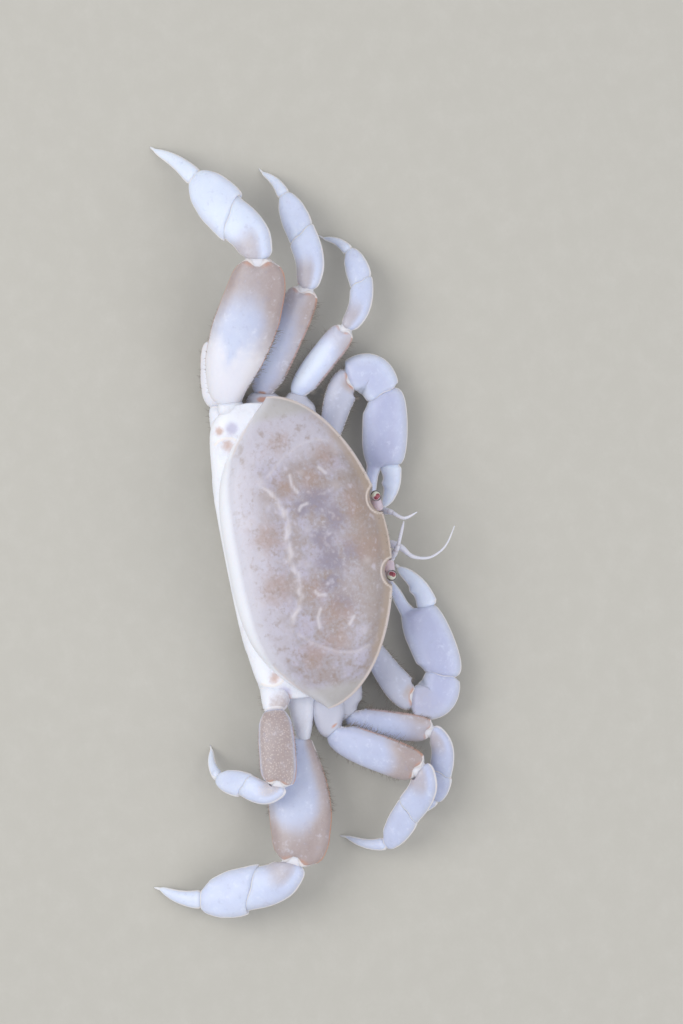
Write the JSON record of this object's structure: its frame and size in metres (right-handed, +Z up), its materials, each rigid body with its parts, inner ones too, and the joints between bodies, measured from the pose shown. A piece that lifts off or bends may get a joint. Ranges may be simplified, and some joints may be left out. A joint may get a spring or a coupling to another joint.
{
  "type": "cylinder pea crab",
  "caption": "Life-size still model of a small wide-bodied crab at rest on its belly, claws folded in front of the mouth and jointed walking legs spread to the sides.",
  "frame": {"origin": "on the floor, on the flat underside of the folded abdomen, under the middle of the shell", "axes": "+X towards the crab's left, -Y the way it faces, +Z up"},
  "size_m": [0.034, 0.0159, 0.005],
  "materials": {
    "shell": "thin translucent shell, grey-brown with pale marbling and a tan front margin",
    "belly": "smooth milky white shell",
    "claw": "glassy bluish-white shell with tan edges",
    "leg": "glassy bluish-white shell, brown towards the ends of the long joints",
    "eye": "clear cornea over dark red pigment",
    "feeler": "pale half-clear shell"
  },
  "bodies": {
    "root": {"abdomen": "belly", "antenna_left": "feeler", "antenna_right": "feeler", "carapace": "shell", "eye_left": "eye", "eye_right": "eye", "left_claw_base": "claw", "left_claw_carpus": "claw", "left_claw_finger": "claw", "left_claw_palm": "claw", "left_leg_1_base": "leg", "left_leg_1_carpus": "leg", "left_leg_1_dactyl": "leg", "left_leg_1_merus": "leg", "left_leg_1_propodus": "leg", "left_leg_2_base": "leg", "left_leg_2_carpus": "leg", "left_leg_2_dactyl": "leg", "left_leg_2_merus": "leg", "left_leg_2_propodus": "leg", "left_leg_3_base": "leg", "left_leg_3_carpus": "leg", "left_leg_3_dactyl": "leg", "left_leg_3_merus": "leg", "left_leg_3_propodus": "leg", "left_leg_4_base": "leg", "left_leg_4_carpus": "leg", "left_leg_4_dactyl": "leg", "left_leg_4_merus": "leg", "left_leg_4_propodus": "leg", "maxilliped_left": "feeler", "maxilliped_right": "feeler", "right_claw_base": "claw", "right_claw_carpus": "claw", "right_claw_finger": "claw", "right_claw_palm": "claw", "right_leg_1_base": "leg", "right_leg_1_carpus": "leg", "right_leg_1_dactyl": "leg", "right_leg_1_merus": "leg", "right_leg_1_propodus": "leg", "right_leg_2_base": "leg", "right_leg_2_carpus": "leg", "right_leg_2_dactyl": "leg", "right_leg_2_merus": "leg", "right_leg_2_propodus": "leg", "right_leg_3_base": "leg", "right_leg_3_carpus": "leg", "right_leg_3_dactyl": "leg", "right_leg_3_merus": "leg", "right_leg_3_propodus": "leg", "right_leg_4_base": "leg", "right_leg_4_carpus": "leg", "right_leg_4_dactyl": "leg", "right_leg_4_merus": "leg", "right_leg_4_propodus": "leg", "thorax": "belly"}
  },
  "joints": []
}
